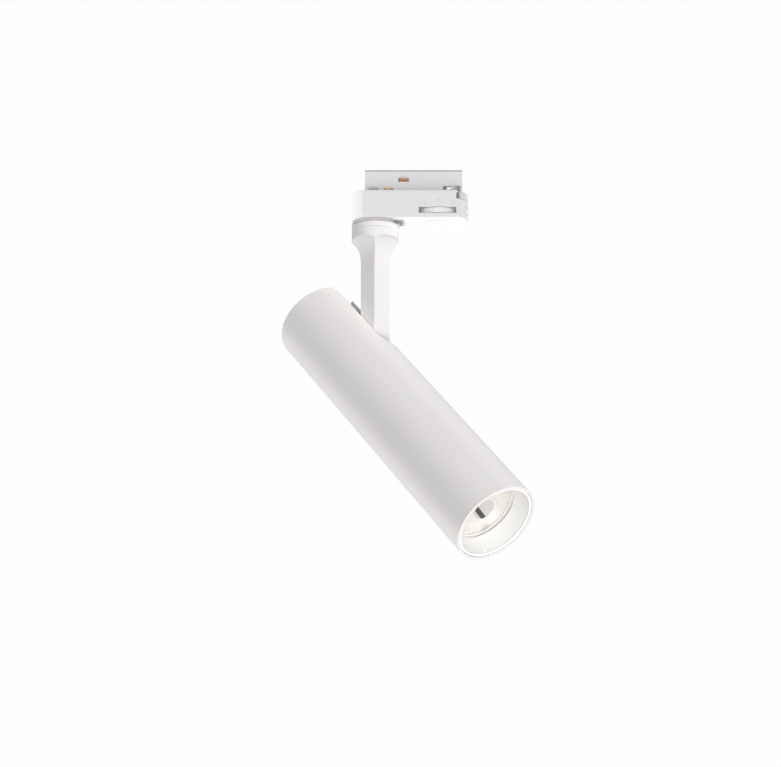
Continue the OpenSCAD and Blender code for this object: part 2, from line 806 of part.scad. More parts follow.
// profiles of the baffle and the front ring as [radius, z]
module baffle() {
  color([0.88, 0.87, 0.84]) at_head() rotate_extrude()
    polygon([[26.2, baffle_z], [28.6, lip_z + 1.22], [29.8, lip_z + 1.22], [29.8, lip_z + 5],
      [30.5, lip_z + 5], [30.5, lip_z + 7], [29.4, lip_z + 7], [27.3, baffle_z]]);
}
module front_ring() {
  color(white) at_head() rotate_extrude()
    polygon([[28.6, lip_z + 0.3], [28.9, lip_z], [30.5, lip_z], [30.5, lip_z + 4.9],
      [29.85, lip_z + 4.9], [29.85, lip_z + 1.2], [28.6, lip_z + 1.2]]);
}
// cable from the slot side, turning forward to the driver
module head_cable() {
  radius = 2.6;
  turn_x = -5.9;
  color(cable_white) at_head() union() {
    translate([0, 0, -12]) cyl_x(radius, turn_x, 11.8);
    translate([turn_x, 0, -12]) sphere(r = radius);
    translate([turn_x, 0, 0]) cyl_z(radius, -25.5, -12);
  }
}

adapter_housing();
adapter_cover();
cover_screws();
neck_bush();
terminal_block();
terminal_screws();
adapter_wires();
neutral_contact();
earth_contacts();
hook_plate();
selector_wheel();
selector_spindle();
contact_drum();
phase_contacts();
lock_lever();
lock_shaft();
lock_cam();
lock_screw();
latch_tab();
swivel_ring();
arm();
pan_spindle();
pan_nut();
wave_washer();
stop_washer();
supply_cable();
tube_housing();
rear_cap();
rear_cap_screws();
hinge_bracket();
bracket_screws();
hinge_bolt();
hinge_nut();
disc_spring();
friction_washers();
driver_tray();
driver_board();
board_standoffs();
board_screws();
driver_transformer();
driver_capacitors();
driver_choke();
driver_connectors();
heat_sink();
heat_sink_screws();
thermal_pad();
led_wires();
cob_board();
cob_phosphor();
cob_holder();
cob_screws();
reflector();
front_glass();
glass_gasket();
baffle();
front_ring();
head_cable();
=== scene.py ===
"""Track spotlight: a mains adapter on top, a swivelling arm and a tilted lamp head.

World +Z is up and the camera looks along +Y. The adapter lies along X near z = 0. The arm turns
about Z and the head hangs below it, with its mouth towards +X, -Y and down. In the head's own
frame the mouth faces -Z. Shapes are in millimetres, shader and stage lengths in metres.
"""

import json
import math

import bmesh
import bpy
from mathutils import Matrix, Vector

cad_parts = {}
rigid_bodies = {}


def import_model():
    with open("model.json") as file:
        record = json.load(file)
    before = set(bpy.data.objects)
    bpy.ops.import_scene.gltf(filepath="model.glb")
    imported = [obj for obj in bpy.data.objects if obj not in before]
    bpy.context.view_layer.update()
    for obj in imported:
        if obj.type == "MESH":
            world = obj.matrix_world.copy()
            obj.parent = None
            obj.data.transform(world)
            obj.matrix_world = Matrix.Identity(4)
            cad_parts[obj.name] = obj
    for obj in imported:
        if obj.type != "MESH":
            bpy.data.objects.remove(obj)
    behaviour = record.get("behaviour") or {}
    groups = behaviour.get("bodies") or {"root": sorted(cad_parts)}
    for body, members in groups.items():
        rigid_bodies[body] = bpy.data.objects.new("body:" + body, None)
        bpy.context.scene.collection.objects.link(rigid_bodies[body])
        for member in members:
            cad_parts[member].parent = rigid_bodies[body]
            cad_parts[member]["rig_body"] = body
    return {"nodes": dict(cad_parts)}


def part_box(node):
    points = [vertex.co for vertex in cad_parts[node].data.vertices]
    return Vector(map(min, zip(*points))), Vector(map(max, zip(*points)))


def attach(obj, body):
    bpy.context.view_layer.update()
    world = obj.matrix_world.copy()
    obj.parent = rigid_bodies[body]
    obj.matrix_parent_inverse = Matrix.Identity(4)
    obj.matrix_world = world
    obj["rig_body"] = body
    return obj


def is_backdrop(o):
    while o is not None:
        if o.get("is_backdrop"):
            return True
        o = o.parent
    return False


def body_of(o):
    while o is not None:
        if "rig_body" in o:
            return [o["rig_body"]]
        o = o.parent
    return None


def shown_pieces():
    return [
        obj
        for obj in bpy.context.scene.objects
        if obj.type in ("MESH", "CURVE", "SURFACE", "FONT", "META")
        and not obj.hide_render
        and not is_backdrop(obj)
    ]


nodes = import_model()["nodes"]


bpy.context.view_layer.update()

MM = 0.001

# Frames of the arm and the head
ARM_TURN = math.radians(-45.0)
HEAD_TILT = math.radians(-46.6)
HEAD_DROP = 118.41
HEAD_OFFSET = (-20.37, -6.9, 59.5)

ARM = Matrix.Rotation(ARM_TURN, 4, "Z")
HEAD = (
    ARM
    @ Matrix.Translation((0, 0, -HEAD_DROP * MM))
    @ Matrix.Rotation(HEAD_TILT, 4, "Y")
    @ Matrix.Translation([offset * MM for offset in HEAD_OFFSET])
)

# Selector marks on the adapter walls
POINTER_X = 48.4
MARK_SINK = 0.02  # how far the marks start inside the wall

# Cover glass and the parts set on it, in the head frame
GLASS_Z = -240.52

# Dark strip across the glass: a painted reflection across the frosted disc
STRIP_MIDDLE = (-3.447, -1.886)
STRIP_ALONG = (-0.48, 0.877)
STRIP_HALF_WIDTH = 1.8
STRIP_REACH = 8.05  # radius of the circle that cuts off its ends
STRIP_DEPTHS = (0.30, 0.56)  # back and front faces, measured out from GLASS_Z
STRIP_CHAMFER = 0.12

# ---------------------------------------------------------------- shader helpers


class Graph:
    """Builds the node tree of a material or a world."""

    def __init__(self, owner, output="Material"):
        owner.use_nodes = True
        self.owner = owner
        self.tree = owner.node_tree
        self.tree.nodes.clear()
        self.output = self.tree.nodes.new("ShaderNodeOutput" + output)

    def feed(self, socket, value):
        """Links a socket, or sets a plain value; colours are given as RGB."""
        if value is None:
            return
        if isinstance(value, bpy.types.NodeSocket):
            self.tree.links.new(value, socket)
        else:
            socket.default_value = (*value, 1) if socket.type == "RGBA" else value

    def add(self, kind, *values, output=0, **settings):
        """Adds a node and returns one of its outputs.

        Values fill the inputs in order. Capitalised settings are inputs, the others properties.
        """
        node = self.tree.nodes.new("ShaderNode" + kind)
        for key, value in settings.items():
            if key[0].isupper():
                self.feed(node.inputs[key.replace("_", " ")], value)
            else:
                setattr(node, key, value)
        for socket, value in zip(node.inputs, values):
            self.feed(socket, value)
        return node.outputs[output]

    def finish(self, shader):
        self.feed(self.output.inputs[0], shader)
        return self.owner

    def surface(self, **inputs):
        return self.finish(self.add("BsdfPrincipled", **inputs))

    def coords(self, frame=None, stretch=None):
        """Object position in metres, optionally in another frame and scaled per axis."""
        place = self.add("TexCoord", output="Object")
        if frame is not None:
            inverse = frame.inverted()
            place = self.add("Mapping", vector_type="POINT", Vector=place,
                             Location=inverse.to_translation(), Rotation=inverse.to_euler())
        if stretch is not None:
            place = self.add("Mapping", Vector=place, Scale=stretch)
        return place

    def noise(self, place, scale, detail=3.0, rough=0.5):
        return self.add("TexNoise", output="Fac", Vector=place, Scale=scale, Detail=detail,
                        Roughness=rough)

    def remap(self, value, low=0, high=1, start=0.3, end=0.7):
        """Maps start..end to low..high."""
        return self.add("MapRange", Value=value, From_Min=start, From_Max=end,
                        To_Min=low, To_Max=high)

    def mix(self, factor, first, second):
        colour = self.add("Mix", factor, output=2, data_type="RGBA")
        self.feed(colour.node.inputs[6], first)
        self.feed(colour.node.inputs[7], second)
        return colour

    def bump(self, height, strength, distance, under=None):
        return self.add("Bump", Height=height, Strength=strength, Distance=distance,
                        Normal=under)

    def vector(self, operation, *values, output=0):
        return self.add("VectorMath", *values, output=output, operation=operation)

    def math(self, operation, *values):
        return self.add("Math", *values, operation=operation)

    def split(self, vector):
        """The x, y and z outputs of a vector."""
        return self.add("SeparateXYZ", vector).node.outputs

    def openness(self, reach=0.0015, start=0.15):
        """0 in tight corners and 1 in the open, the mask for painted shade in corners and
        joints.
        """
        occlusion = self.add("AmbientOcclusion", output="AO", samples=6, Distance=reach)
        return self.remap(occlusion, start=start, end=0.9)


def new_material(name):
    return Graph(bpy.data.materials.new(name))


def scaled(colour, factor):
    return tuple(min(1.0, channel * factor) for channel in colour)


# ---------------------------------------------------------------- material families


def add_painted_shadow(g, place, colour, centre, half_size, shadow_tone):
    """A streaked box-shaped patch of painted shadow that fades out over a colour."""
    ratio = g.vector("DIVIDE", g.vector("SUBTRACT", place, centre), half_size)
    x, y, z = g.split(g.vector("ABSOLUTE", ratio))
    farthest = g.math("MAXIMUM", g.math("MAXIMUM", x, y), z)
    inside = g.remap(farthest, low=1, high=0, start=0.55, end=1.0)
    streak = g.noise(g.coords(stretch=(1, 5, 5)), scale=900.0)
    streaks = g.mix(g.remap(streak, start=0.35, end=0.65), scaled(shadow_tone, 0.55), shadow_tone)
    return g.mix(inside, colour, streaks)


def coat(name, base, rough, grain, bump, frame=None, spec=0.5, corner_shade_factor=0.82,
         corner_shade_colour=None, edge=0.35, reach=0.0015, patch=None):
    """Painted or moulded white: fine grain, painted shade in corners and joints, an optional
    painted shadow patch, and edges rounded by edge mm.
    """
    g = new_material(name)
    place = g.coords(frame)
    broad = g.noise(place, scale=22.0, detail=2.0)
    fine = g.noise(place, scale=grain, detail=4.0, rough=0.6)
    shade = g.mix(g.remap(broad), scaled(base, 0.985), base)
    speck = g.mix(g.remap(fine, start=0.25, end=0.75), scaled(base, 0.975), base)
    mixed = g.mix(0.5, shade, speck)
    # Painted shade: tight corners and joints darken to the corner colour.
    colour = g.mix(g.openness(reach), corner_shade_colour or scaled(base, corner_shade_factor), mixed)
    # Painted shadow: a streaked dark patch, where one is given.
    if patch is not None:
        colour = add_painted_shadow(g, place, colour, **patch)
    ripple = g.noise(place, scale=grain * 0.28, detail=2.0)
    rounded = g.add("Bevel", samples=6, Radius=edge * MM)
    rippled = g.bump(ripple, strength=0.10, distance=0.00006, under=rounded)
    return g.surface(
        Base_Color=colour,
        Normal=g.bump(fine, strength=bump, distance=0.00004, under=rippled),
        Roughness=g.remap(fine, low=rough - 0.05, high=rough + 0.07),
        Specular_IOR_Level=spec,
    )


def metal(name, base, rough, stretch=None, frame=None, hollow_shade_factor=0.75, metallic=1.0):
    """Bare or plated metal: stretched grain, cloudy plating, brighter edges and painted shade
    in hollows.
    """
    g = new_material(name)
    grain = g.noise(g.coords(frame, stretch), scale=900.0, detail=5.0, rough=0.65)
    cloud = g.noise(g.coords(frame), scale=90.0)
    plating = g.mix(g.remap(cloud), scaled(base, 0.86), base)
    edges = g.remap(g.add("NewGeometry", output="Pointiness"), start=0.5, end=0.56)
    edge_lightened = g.mix(edges, plating, scaled(base, 1.12))
    # Painted shade: hollows and corners darken by the given factor; pointy edges are drawn
    # lighter.
    return g.surface(
        Base_Color=g.mix(g.openness(reach=0.002, start=0.2), scaled(base, hollow_shade_factor), edge_lightened),
        Metallic=metallic,
        Roughness=g.remap(grain, low=rough - 0.07, high=rough + 0.1),
        Normal=g.bump(grain, strength=0.15, distance=0.00003),
    )


def plastic(name, base, rough, grain=1400.0, bump=0.12, corner_shade_factor=0.6, frame=None, gloss=0.0):
    """Plain plastic, rubber or ceramic; gloss is the weight of a clear coat."""
    g = new_material(name)
    place = g.coords(frame)
    fine = g.noise(place, scale=grain, detail=4.0, rough=0.6)
    broad = g.noise(place, scale=60.0, detail=2.0)
    body = g.mix(g.remap(broad), scaled(base, 0.93), scaled(base, 1.03))
    # Painted shade: tight corners darken to the base scaled by the corner factor.
    return g.surface(
        Base_Color=g.mix(g.openness(), scaled(base, corner_shade_factor), body),
        Roughness=g.remap(fine, low=rough - 0.06, high=rough + 0.08),
        Normal=g.bump(fine, strength=bump, distance=0.00003),
        Coat_Weight=gloss,
    )


# ---------------------------------------------------------------- single materials


def board_material():
    """Green solder mask with a brick pattern of paler tracks."""
    g = new_material("board_green_mask")
    place = g.coords(HEAD)
    _, y, z = g.split(place)
    tracks = g.add(
        "TexBrick", output="Color", Vector=g.add("CombineXYZ", z, y), Scale=1.0,
        Brick_Width=0.011, Row_Height=0.0042, Mortar_Size=0.00045,
        Color1=(0.012, 0.10, 0.045), Color2=(0.014, 0.12, 0.055), Mortar=(0.05, 0.26, 0.10),
    )
    fine = g.noise(place, scale=1500.0, detail=4.0)
    return g.surface(
        Base_Color=g.mix(g.remap(fine, high=0.15), tracks, (0.03, 0.05, 0.03)),
        Roughness=g.remap(fine, low=0.22, high=0.4),
        Normal=g.bump(tracks.node.outputs["Fac"], strength=0.25, distance=0.00005),
        Coat_Weight=0.3,
    )


def winding_material():
    """Enamelled copper wire, turn beside turn."""
    g = new_material("choke_winding")
    turns = g.add("TexWave", output="Fac", bands_direction="DIAGONAL", Vector=g.coords(HEAD),
                  Scale=900.0, Distortion=0.6, Detail=1.0)
    return g.surface(
        Base_Color=g.mix(turns, (0.28, 0.09, 0.03), (0.72, 0.32, 0.13)),
        Metallic=0.8,
        Roughness=0.3,
        Normal=g.bump(turns, strength=0.6, distance=0.0002),
    )


def reflector_material():
    """Satin bowl with soft facets laid out by angle and height."""
    g = new_material("reflector_satin")
    place = g.coords(HEAD)
    x, y, z = g.split(place)
    angle = g.math("ARCTAN2", y, x)
    rows_per_metre = 55.0
    grid = g.add("CombineXYZ", angle, g.math("MULTIPLY", z, rows_per_metre))
    facets = g.add("TexVoronoi", output="Distance", feature="SMOOTH_F1", Vector=grid,
                   Scale=5.0, Randomness=0.15)
    fine = g.noise(place, scale=1800.0)
    faceted = g.bump(facets, strength=0.25, distance=0.0008)
    return g.surface(
        Base_Color=g.mix(g.remap(fine), (0.88, 0.852, 0.832), (0.95, 0.918, 0.896)),
        Metallic=0.2,
        Roughness=g.remap(fine, low=0.24, high=0.34),
        Normal=g.bump(fine, strength=0.04, distance=0.00003, under=faceted),
    )


def glass_spot(g, place, front):
    """Strength of a hatched oval spot near one side of the glass."""
    centre = (-0.0150, 0.0124, -0.2405)
    half_size = (0.0056, 0.0034, 0.0008)
    offset = g.vector("SUBTRACT", place, centre)
    turned = g.add("VectorRotate", rotation_type="Z_AXIS", Vector=offset,
                   Angle=math.radians(-35))
    distance = g.vector("LENGTH", g.vector("DIVIDE", turned, half_size), output="Value")
    body = g.remap(distance, low=0.75, high=0.0, start=0.1, end=1.0)
    hatch = g.add("TexWave", output="Fac", Vector=turned, Scale=420.0, Distortion=2.5,
                  Detail=2.0)
    lines = g.remap(hatch, low=0.3, high=1.0, start=0.2, end=0.8)
    return g.math("MULTIPLY", g.math("MULTIPLY", body, lines), front)


def glass_material():
    """Thin clear cover with a grazing sheen and a grey spot; it casts almost no shadow."""
    g = new_material("cover_glass")
    place = g.coords(HEAD)
    fine = g.noise(place, scale=700.0, detail=2.0)
    clear = g.add("BsdfTransparent", Color=(0.985, 0.985, 0.98))
    gloss = g.add("BsdfGlossy", Roughness=g.remap(fine, low=0.03, high=0.07))
    # Schlick reflection: 4 % face on, rising to all at grazing angles, front faces only
    facing = g.add("LayerWeight", output="Facing", Blend=0.5)
    grazing = g.math("POWER", facing, 5.0)
    front = g.math("SUBTRACT", 1.0, g.add("NewGeometry", output="Backfacing"))
    reflected = g.math("ADD", g.math("MULTIPLY", grazing, 0.96), 0.04)
    pane = g.add("MixShader", g.math("MULTIPLY", reflected, front), clear, gloss)
    # Grey diffuse spot on the front face of the glass.
    grey_spot_shader = g.add("BsdfDiffuse", Color=(0.22, 0.205, 0.19))
    spotted = g.add("MixShader", glass_spot(g, place, front), pane, grey_spot_shader)
    shadow_ray = g.add("LightPath", output="Is Shadow Ray")
    return g.finish(g.add("MixShader", shadow_ray, spotted, clear))


def frosted_material():
    g = new_material("frosted_centre")
    fine = g.noise(g.coords(HEAD), scale=2600.0, detail=4.0, rough=0.7)
    return g.surface(
        Base_Color=g.mix(g.remap(fine), (0.49, 0.472, 0.452), (0.55, 0.528, 0.506)),
        Roughness=0.5,
        Normal=g.bump(fine, strength=0.25, distance=0.00004),
        Subsurface_Weight=0.1,
        Subsurface_Radius=(0.002, 0.002, 0.002),
    )


def floor_material():
    g = new_material("floor_pale")
    broad = g.noise(g.coords(), scale=3.0)
    return g.surface(
        Base_Color=g.mix(g.remap(broad), (0.86, 0.86, 0.86), (0.88, 0.88, 0.88)),
        Roughness=0.9,
    )


# ---------------------------------------------------------------- material table

SHELL = (0.86, 0.845, 0.865)
MOULDED = dict(base=SHELL, rough=0.5, grain=2600.0, bump=0.22, spec=0.4, edge=0.3)
# Painted shadow of the swivel ring and the stop wedge on the housing's underside, streaked.
HOUSING_PAINTED_SHADOW = dict(centre=(0.0180, -0.0036, -0.0231), half_size=(0.0048, 0.0062, 0.0028),
                     shadow_tone=(0.44, 0.44, 0.45))

MATERIALS = {
    # The brown corner colours of the shell and the housing are painted shade in the window, the
    # notch and the swivel gap.
    "shell": coat("moulded_shell_white", corner_shade_colour=(0.60, 0.52, 0.46), **MOULDED),
    "housing": coat("moulded_housing_white", corner_shade_colour=(0.60, 0.45, 0.36),
                    patch=HOUSING_PAINTED_SHADOW, **MOULDED),
    "paint": coat("powder_coat_white", (0.873, 0.852, 0.840), rough=0.42, grain=3200.0,
                  bump=0.16, frame=HEAD, spec=0.45),
    "warm": coat("powder_coat_warm_white", (0.836, 0.820, 0.812), rough=0.46, grain=3000.0,
                 bump=0.18, frame=ARM, spec=0.4, edge=0.5),
    "ring_paint": coat("inner_ring_white", (0.90, 0.893, 0.885), rough=0.36, grain=3200.0,
                       bump=0.1, frame=HEAD),
    "baffle": coat("baffle_matt_white", (0.925, 0.921, 0.916), rough=0.62, grain=2400.0,
                   bump=0.3, frame=HEAD, spec=0.3),
    "zinc": metal("zinc_plate", (0.66, 0.67, 0.69), rough=0.33),
    "hook": metal("pressed_steel_plate", (0.6, 0.61, 0.62), rough=0.36, stretch=(1, 14, 1)),
    "spring": metal("spring_steel", (0.42, 0.42, 0.43), rough=0.38),
    "copper": metal("contact_copper", (0.83, 0.5, 0.3), rough=0.27, stretch=(1, 10, 1)),
    "brass": metal("turned_brass", (0.78, 0.6, 0.28), rough=0.28, frame=HEAD,
                   stretch=(12, 1, 1)),
    "bracket": metal("dark_bracket", (0.055, 0.056, 0.06), rough=0.42, frame=HEAD,
                     stretch=(1, 1, 10), metallic=0.35, hollow_shade_factor=0.6),
    "tray": metal("tray_sheet_aluminium", (0.7, 0.71, 0.72), rough=0.34, frame=HEAD,
                  stretch=(1, 1, 16)),
    "sink": metal("heat_sink_aluminium", (0.64, 0.65, 0.66), rough=0.4, frame=HEAD,
                  stretch=(1, 1, 20)),
    "nylon_black": plastic("bush_black_nylon", (0.035, 0.035, 0.038), rough=0.45),
    "terminal": plastic("terminal_light_grey", (0.7, 0.7, 0.67), rough=0.5),
    "drum": plastic("drum_ivory", (0.74, 0.7, 0.6), rough=0.45),
    # Lock lever: a darker copy of the moulded white as painted shade for its place in the
    # notch, with painted brown shade in its corners.
    "lever": coat("lever_painted_shade", (0.74, 0.725, 0.73), rough=0.42, grain=2600.0, bump=0.15,
                  corner_shade_colour=(0.42, 0.33, 0.29), edge=0.2, reach=0.006),
    "white_plastic": plastic("holder_white", (0.85, 0.85, 0.83), rough=0.38, frame=HEAD),
    "cable": plastic("cable_sheath_white", (0.8, 0.8, 0.79), rough=0.48, grain=900.0,
                     bump=0.2),
    "wire_brown": plastic("wire_brown", (0.22, 0.1, 0.045), rough=0.4),
    "wire_red": plastic("wire_red", (0.5, 0.03, 0.025), rough=0.4),
    "cap": plastic("capacitor_sleeve", (0.03, 0.035, 0.09), rough=0.3, frame=HEAD, gloss=0.4),
    "core": plastic("core_tape_black", (0.05, 0.05, 0.05), rough=0.5, frame=HEAD,
                    grain=500.0, bump=0.3),
    "pad": plastic("thermal_pad_grey", (0.36, 0.4, 0.44), rough=0.8, frame=HEAD, grain=700.0,
                   bump=0.4),
    "ceramic": plastic("ceramic_board", (0.84, 0.84, 0.8), rough=0.3, frame=HEAD),
    "phosphor": plastic("phosphor_gel", (0.9, 0.72, 0.2), rough=0.35, frame=HEAD, gloss=0.6),
    "gasket": plastic("gasket_silicone", (0.78, 0.78, 0.76), rough=0.65, frame=HEAD),
    "friction": plastic("friction_facing", (0.06, 0.06, 0.06), rough=0.85, frame=HEAD,
                        grain=1800.0, bump=0.6),
    "board": board_material(),
    "winding": winding_material(),
    "reflector": reflector_material(),
    "glass": glass_material(),
    "frosted": frosted_material(),
    # Painted reflection: the dark strip across the glass.
    "bar": metal("painted_reflection_strip", (0.045, 0.04, 0.036), rough=0.45, frame=HEAD,
                 metallic=0.2),
    "bead": plastic("glass_bead_ivory", (0.74, 0.72, 0.70), rough=0.35, frame=HEAD,
                    corner_shade_factor=0.85),
    "flange": plastic("flange_ivory", (0.84, 0.815, 0.79), rough=0.45, frame=HEAD,
                      corner_shade_factor=0.95),
    # Painted shade: the dark ring in the swivel gap.
    "seal": plastic("painted_gap_shade", (0.06, 0.055, 0.05), rough=0.6, frame=ARM),
    # Selector wheel: a lighter copy of the moulded white as painted light against the shade of
    # the window, with painted brown shade in its corners.
    "wheel": coat("thumbwheel_painted_light_and_shade", (0.95, 0.94, 0.95), rough=0.45, grain=2600.0,
                  bump=0.15, corner_shade_colour=(0.66, 0.52, 0.44), edge=0.15, reach=0.0025),
    "mark": coat("raised_mark_white", (0.93, 0.92, 0.935), rough=0.45, grain=2600.0,
                 bump=0.1, corner_shade_factor=0.9),
}

# The CAD nodes that wear each material
WORN_BY = {
    "housing": "adapter_housing",
    "shell": "adapter_cover latch_tab",
    "zinc": "cover_screws terminal_screws selector_spindle lock_shaft lock_screw pan_spindle"
            " pan_nut rear_cap_screws bracket_screws hinge_bolt hinge_nut board_screws"
            " heat_sink_screws cob_screws",
    "nylon_black": "neck_bush",
    "terminal": "terminal_block",
    "wire_brown": "adapter_wires",
    "copper": "neutral_contact earth_contacts phase_contacts",
    "hook": "hook_plate lock_cam",
    "wheel": "selector_wheel",
    "drum": "contact_drum",
    "lever": "lock_lever",
    "warm": "swivel_ring arm",
    "spring": "wave_washer stop_washer disc_spring",
    "cable": "supply_cable head_cable",
    "paint": "tube_housing rear_cap",
    "bracket": "hinge_bracket",
    "friction": "friction_washers",
    "tray": "driver_tray",
    "board": "driver_board",
    "brass": "board_standoffs",
    "core": "driver_transformer",
    "cap": "driver_capacitors",
    "winding": "driver_choke",
    "white_plastic": "driver_connectors cob_holder",
    "sink": "heat_sink",
    "pad": "thermal_pad",
    "wire_red": "led_wires",
    "ceramic": "cob_board",
    "phosphor": "cob_phosphor",
    "reflector": "reflector",
    "glass": "front_glass",
    "gasket": "glass_gasket",
    "baffle": "baffle",
    "ring_paint": "front_ring",
}
for material_key, node_names in WORN_BY.items():
    for node_name in node_names.split():
        mesh = nodes[node_name].data
        mesh.materials.clear()
        mesh.materials.append(MATERIALS[material_key])
        for polygon in mesh.polygons:
            polygon.material_index = 0

# ---------------------------------------------------------------- shape helpers


def new_piece(name, bm, material, body, frame=None, smooth=True):
    if frame is not None:
        bm.transform(frame)
    bmesh.ops.recalc_face_normals(bm, faces=bm.faces)
    mesh = bpy.data.meshes.new(name)
    bm.to_mesh(mesh)
    bm.free()
    for polygon in mesh.polygons:
        polygon.use_smooth = smooth
    mesh.materials.append(MATERIALS[material])
    piece = bpy.data.objects.new(name, mesh)
    bpy.context.scene.collection.objects.link(piece)
    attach(piece, body)
    return piece


def bridge(bm, first, second):
    """Faces between two closed rings of vertices; a ring of one vertex is a pole."""
    count = max(len(first), len(second))
    if count == 1:
        return
    for i in range(count):
        j = (i + 1) % count
        near = [first[i], first[j]] if len(first) > 1 else first
        far = [second[j], second[i]] if len(second) > 1 else second
        bm.faces.new(near + far)


def lathe(profile, steps=96):
    """Closed profile of (radius, z) turned about z. A radius of 0 is a pole."""
    bm = bmesh.new()
    rings = []
    for radius, z in profile:
        angles = [2 * math.pi * i / steps for i in range(steps if radius else 1)]
        rings.append([
            bm.verts.new((radius * MM * math.cos(a), radius * MM * math.sin(a), z * MM))
            for a in angles
        ])
    for first, second in zip(rings, rings[1:] + rings[:1]):
        bridge(bm, first, second)
    return bm


def from_glass(profile):
    """Turns (radius, distance out of the mouth from GLASS_Z) into (radius, z)."""
    return [(radius, GLASS_Z - depth) for radius, depth in profile]


def stroke(bm, points, half, depth, wall_y, out, closed=False):
    """Raised line through (x, z) points on a wall at wall_y, standing out along y."""
    points = [Vector(point) for point in points]
    count = len(points)
    # across the line, out from the wall
    section = [(-half, 0.0), (-half, depth * 0.6), (-half * 0.6, depth),
               (half * 0.6, depth), (half, depth * 0.6), (half, 0.0)]
    rings = []
    for k, point in enumerate(points):
        if closed:
            before, after = points[k - 1], points[(k + 1) % count]
        else:
            before, after = points[max(k - 1, 0)], points[min(k + 1, count - 1)]
        along = (after - before).normalized()
        across = Vector((-along.y, along.x))
        rings.append([
            bm.verts.new(((point.x + across.x * u) * MM, (wall_y + out * v) * MM,
                          (point.y + across.y * u) * MM))
            for u, v in section
        ])
    for k in range(count if closed else count - 1):
        bridge(bm, rings[k], rings[(k + 1) % count])
    if not closed:
        bm.faces.new(rings[0])
        bm.faces.new(list(reversed(rings[-1])))


def oval(centre_x, centre_z, radius_x, radius_z, steps=28):
    angles = [2 * math.pi * i / steps for i in range(steps)]
    return [(centre_x + radius_x * math.cos(a), centre_z + radius_z * math.sin(a))
            for a in angles]


# ---------------------------------------------------------------- selector marks

# Digit outlines: (offset from the digit's middle towards the reader's right, z)
ONE = ((-0.7, -9.8), (0, -9.0), (0, -10.4), (0, -12.2))
TWO = ((-0.9, -9.6), (-0.3, -9.05), (0.5, -9.2), (0.8, -9.9), (0.3, -10.8),
       (-0.9, -12.15), (0.95, -12.15))


def selector_marks(side, out, wall_y):
    """A nought, an upward arrow, a one and a two, reading left to right on either wall."""
    wall_y = wall_y / MM - out * MARK_SINK
    bm = bmesh.new()

    def across(offset):
        """The x at an offset from the pointer towards the reader's right."""
        return POINTER_X - out * offset

    def digit(outline, middle):
        return [(across(middle + offset), z) for offset, z in outline]

    nought = oval(across(-10.2), -10.6, radius_x=1.05, radius_z=1.6)
    stem = [(POINTER_X, z) for z in (-11.9, -10.4, -8.9, -7.2)]
    barbs = [(POINTER_X - 0.95, -8.5), (POINTER_X, -7.2), (POINTER_X + 0.95, -8.5)]
    stroke(bm, nought, half=0.26, depth=0.16, wall_y=wall_y, out=out, closed=True)
    stroke(bm, stem, half=0.3, depth=0.18, wall_y=wall_y, out=out)
    stroke(bm, barbs, half=0.26, depth=0.18, wall_y=wall_y, out=out)
    stroke(bm, digit(ONE, middle=9.4), half=0.24, depth=0.16, wall_y=wall_y, out=out)
    stroke(bm, digit(TWO, middle=11.9), half=0.23, depth=0.16, wall_y=wall_y, out=out)
    new_piece("selector_marks_" + side, bm, "mark", "adapter")


low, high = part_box("adapter_housing")
selector_marks("near", -1.0, low.y)
selector_marks("far", 1.0, high.y)

# ---------------------------------------------------------------- rings and discs

# Shallow frosted dome on the middle of the cover glass: (radius, distance out)
FROSTED_DOME = [
    (0, 0.44), (3.0, 0.43), (5.6, 0.39), (7.2, 0.33), (7.9, 0.24), (8.22, 0.12),
    (8.3, 0), (0, 0),
]
new_piece("glass_frosted_centre", lathe(from_glass(FROSTED_DOME)), "frosted", "head",
          HEAD)

# Pale bead that beds the edge of the glass against the baffle: (radius, distance out)
EDGE_BEAD = [(25.45, 0.01), (25.5, 0.12), (25.7, 0.32), (26.0, 0.46), (26.24, 0.44),
             (26.24, 0.02)]
new_piece("glass_edge_bead", lathe(from_glass(EDGE_BEAD)), "bead", "head", HEAD)

# Pale face of the bowl's flange, seen through the rim of the glass: (radius, z)
FLANGE_FACE = [(25.2, -237.93), (25.2, -238.01), (25.3, -238.03), (27.9, -238.03),
               (27.96, -238.01), (27.96, -237.93)]
flange_face = new_piece("reflector_flange_face", lathe(FLANGE_FACE), "flange", "head",
                        HEAD, smooth=False)

# Dark ring in the gap between the swivel ring and the shell, painted shade standing in for the
# shadow in the gap: (radius, z)
GAP_SHADOW_PROFILE = [(14.2, -24.44), (18.0, -24.44), (18.21, -24.52), (18.22, -24.30),
            (18.1, -24.18), (14.2, -24.16)]
new_piece("swivel_gap_shadow_ring", lathe(GAP_SHADOW_PROFILE, steps=128), "seal", "arm", ARM)

# ---------------------------------------------------------------- dark strip


